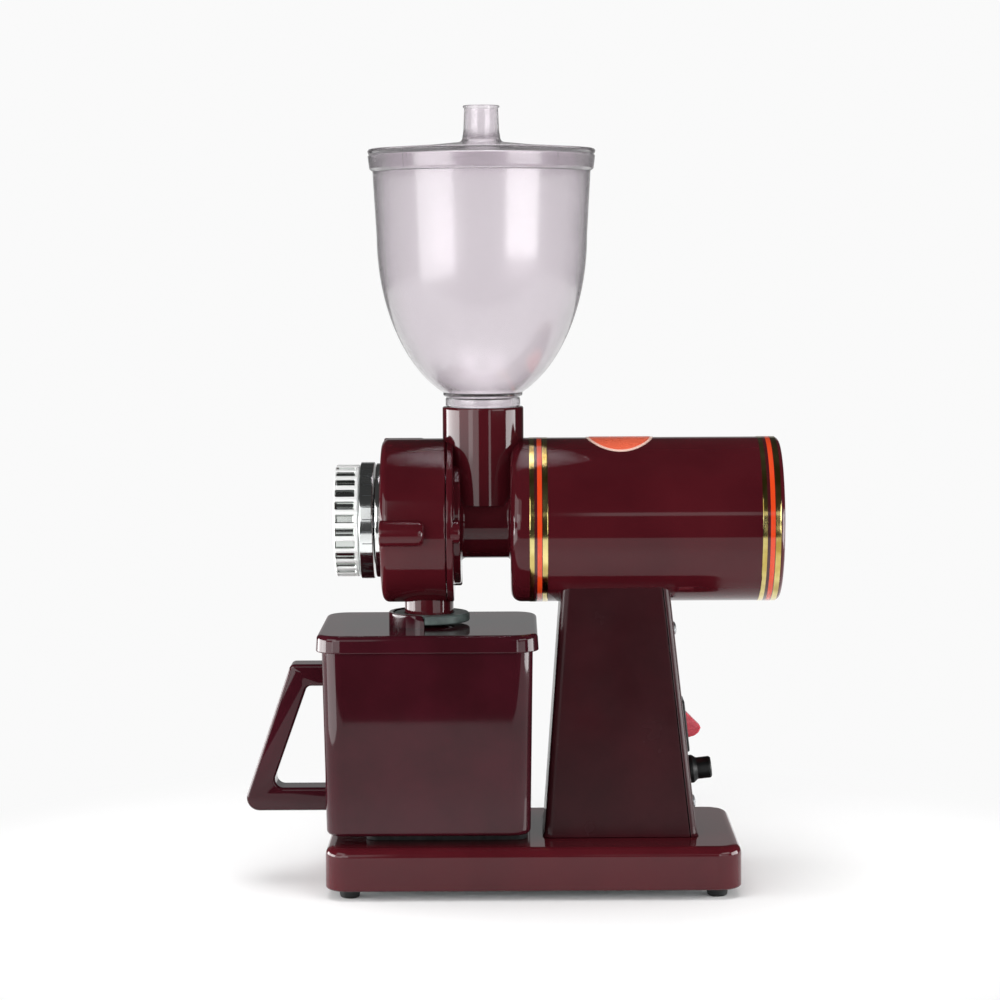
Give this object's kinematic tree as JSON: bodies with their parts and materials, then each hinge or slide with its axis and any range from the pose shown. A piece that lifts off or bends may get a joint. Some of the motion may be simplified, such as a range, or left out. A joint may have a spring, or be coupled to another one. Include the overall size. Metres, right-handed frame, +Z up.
{
  "type": "electric coffee grinder",
  "caption": "Flat-burr coffee grinder with a clear hopper, ribbed grind dial, lying motor on a tapered column, base plate and a pull-out powder box with an angular handle.",
  "frame": {"origin": "middle of the bounding box at the counter, under the feet", "axes": "+Z up; the shaft lies along X, dial and powder box handle at -X, back of the motor and rocker switch at +X"},
  "size_m": [0.2498, 0.1052, 0.3612],
  "materials": {
    "maroon_enamel": "gloss enamel",
    "maroon_plastic": "polished",
    "clear_plastic": "clear, lightly smoked",
    "chrome_plate": "polished",
    "black_plastic": "fine matt",
    "black_rubber": "matt",
    "grey_rubber": "satin",
    "red_plastic": "satin gloss",
    "burr_steel": "ground",
    "bright_steel": "turned",
    "laminated_steel": "stacked sheets",
    "enamelled_copper": "enamelled wire",
    "cast_aluminium": "as cast",
    "grey_card": "matt",
    "white_felt": "felt"
  },
  "bodies": {
    "machine": {"base_plate": "maroon_enamel", "column": "maroon_enamel", "column_rear_panel": "maroon_enamel", "grinder_body": "maroon_enamel", "chamber_cover": "maroon_enamel", "motor_shell": "maroon_enamel", "motor_rear_cap": "maroon_enamel", "index_ring": "chrome_plate", "switch_housing": "black_plastic", "cable_gland": "black_plastic", "gland_nut": "black_plastic", "rubber_foot_1": "black_rubber", "rubber_foot_2": "black_rubber", "rubber_foot_3": "black_rubber", "rubber_foot_4": "black_rubber", "box_rest_pad": "black_rubber", "motor_lead": "black_rubber", "outlet_collar": "grey_rubber", "fixed_burr": "burr_steel", "base_cover": "bright_steel", "column_bolt_1": "bright_steel", "column_bolt_2": "bright_steel", "column_bolt_3": "bright_steel", "column_bolt_4": "bright_steel", "saddle_screw_1": "bright_steel", "saddle_screw_2": "bright_steel", "panel_screw_1": "bright_steel", "panel_screw_2": "bright_steel", "cover_screw_1": "bright_steel", "cover_screw_2": "bright_steel", "cover_screw_3": "bright_steel", "front_bearing": "bright_steel", "rear_bearing": "bright_steel", "tie_rod_1": "bright_steel", "tie_rod_2": "bright_steel", "tie_rod_3": "bright_steel", "stator_core": "laminated_steel", "stator_winding": "enamelled_copper", "run_capacitor": "grey_card", "shaft_seal": "white_felt"},
    "rotor": {"rotor_shaft": "bright_steel", "feed_screw": "cast_aluminium", "rotor_core": "laminated_steel", "cooling_fan": "black_plastic", "drive_pin": "bright_steel", "burr_spring": "bright_steel"},
    "burr_set": {"burr_carrier": "cast_aluminium", "rotating_burr": "burr_steel"},
    "thrust_seat": {"thrust_ball": "bright_steel"},
    "dial": {"dial_knob": "chrome_plate", "dial_scale_ring": "chrome_plate", "adjusting_screw": "bright_steel"},
    "hopper": {"hopper": "clear_plastic"},
    "hopper_lid": {"hopper_lid": "clear_plastic"},
    "powder_box": {"powder_box": "maroon_plastic", "powder_box_lid": "maroon_plastic", "box_handle": "maroon_plastic", "handle_screw_1": "bright_steel", "handle_screw_2": "bright_steel"},
    "rocker": {"switch_rocker": "red_plastic"}
  },
  "joints": [
    {"name": "rotor_spin", "type": "hinge", "parent": "machine", "child": "rotor", "pos_m": [0, 0, 0.1695], "axis": [1, 0, 0], "continuous": true},
    {"name": "burr_travel", "type": "slide", "parent": "rotor", "child": "burr_set", "axis": [1, 0, 0], "range_m": [-0.00053, 0.00053]},
    {"name": "thrust_travel", "type": "slide", "parent": "machine", "child": "thrust_seat", "axis": [1, 0, 0], "range_m": [-0.00053, 0.00053]},
    {"name": "dial_turn", "type": "hinge", "parent": "thrust_seat", "child": "dial", "pos_m": [0, 0, 0.1695], "axis": [1, 0, 0], "range_deg": [-150, 150]},
    {"name": "hopper_lift", "type": "slide", "parent": "machine", "child": "hopper", "axis": [0, 0, 1], "range_m": [0, 0.06]},
    {"name": "hopper_lid_lift", "type": "slide", "parent": "hopper", "child": "hopper_lid", "axis": [0, 0, 1], "range_m": [0, 0.05]},
    {"name": "powder_box_pull", "type": "slide", "parent": "machine", "child": "powder_box", "axis": [-1, 0, 0], "range_m": [0, 0.13]},
    {"name": "rocker_tilt", "type": "hinge", "parent": "machine", "child": "rocker", "pos_m": [0.07901, 0, 0.0727], "axis": [0, 1, 0], "range_deg": [0, 28]}
  ],
  "couplings": [
    {"joint": "burr_travel", "follows": "dial_turn", "m_per_rad": 0.00019894},
    {"joint": "thrust_travel", "follows": "dial_turn", "m_per_rad": 0.00019894}
  ]
}
